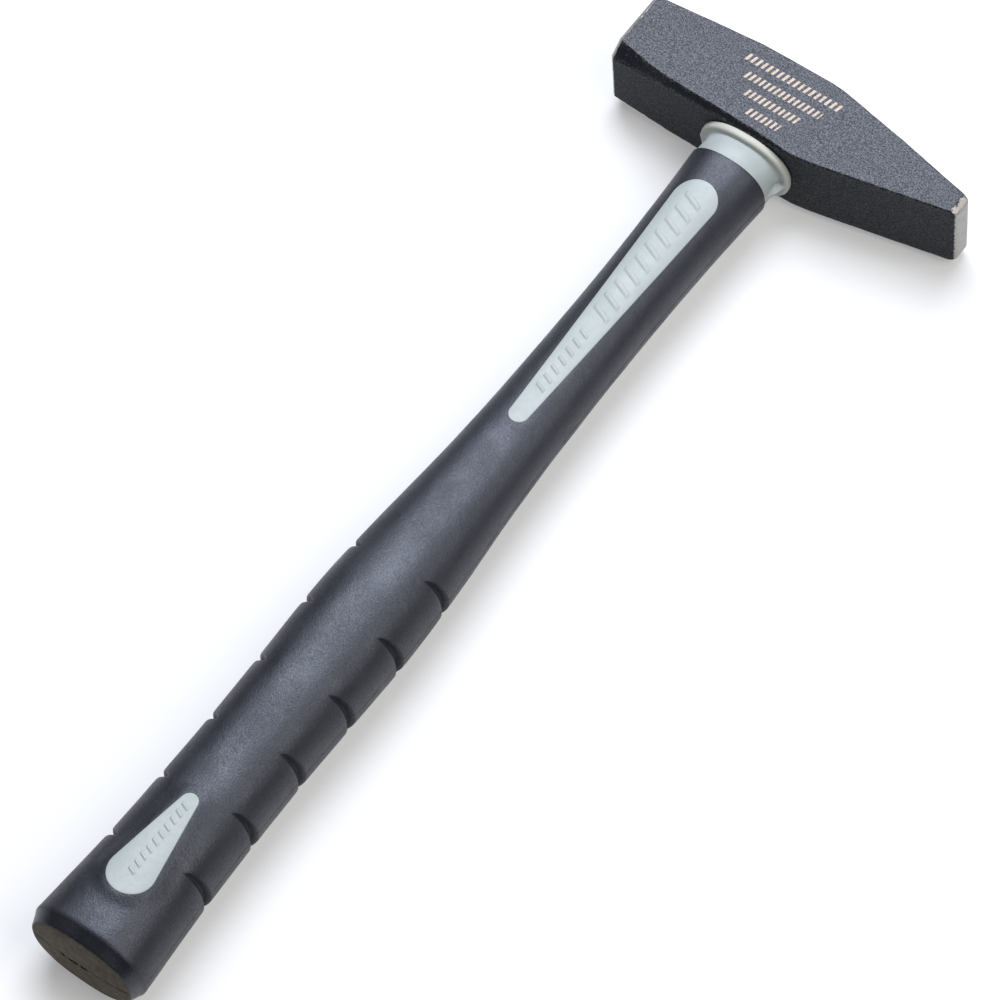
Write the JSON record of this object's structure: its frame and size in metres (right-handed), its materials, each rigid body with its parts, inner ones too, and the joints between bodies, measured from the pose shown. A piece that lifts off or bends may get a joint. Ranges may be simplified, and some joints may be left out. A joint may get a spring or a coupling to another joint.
{
  "type": "cross peen hammer",
  "caption": "Cross peen hammer with a painted forged head, a fibreglass-cored handle, a pale plastic collar and windows, and a notched black rubber grip.",
  "frame": {"origin": "on the ground under the middle of the hammer's box, the hammer lying on its side", "axes": "+X from the striking face to the peen, +Y along the handle from the butt to the head, +Z out of the head's upper cheek"},
  "size_m": [0.1182, 0.3516, 0.0304],
  "materials": {
    "head_steel": "forged steel under rough black paint, face bevel and peen edge ground bright",
    "fibreglass": "pultruded glass fibre rod, straw coloured",
    "cast_resin": "cast black resin",
    "pale_plastic": "pale blue-grey moulded plastic, satin",
    "black_rubber": "soft-touch black rubber, fine matt grain"
  },
  "bodies": {
    "root": {"hammer_head": "head_steel", "fibreglass_core": "fibreglass", "eye_bond": "cast_resin", "handle_jacket": "pale_plastic", "rubber_grip": "black_rubber"}
  },
  "joints": []
}
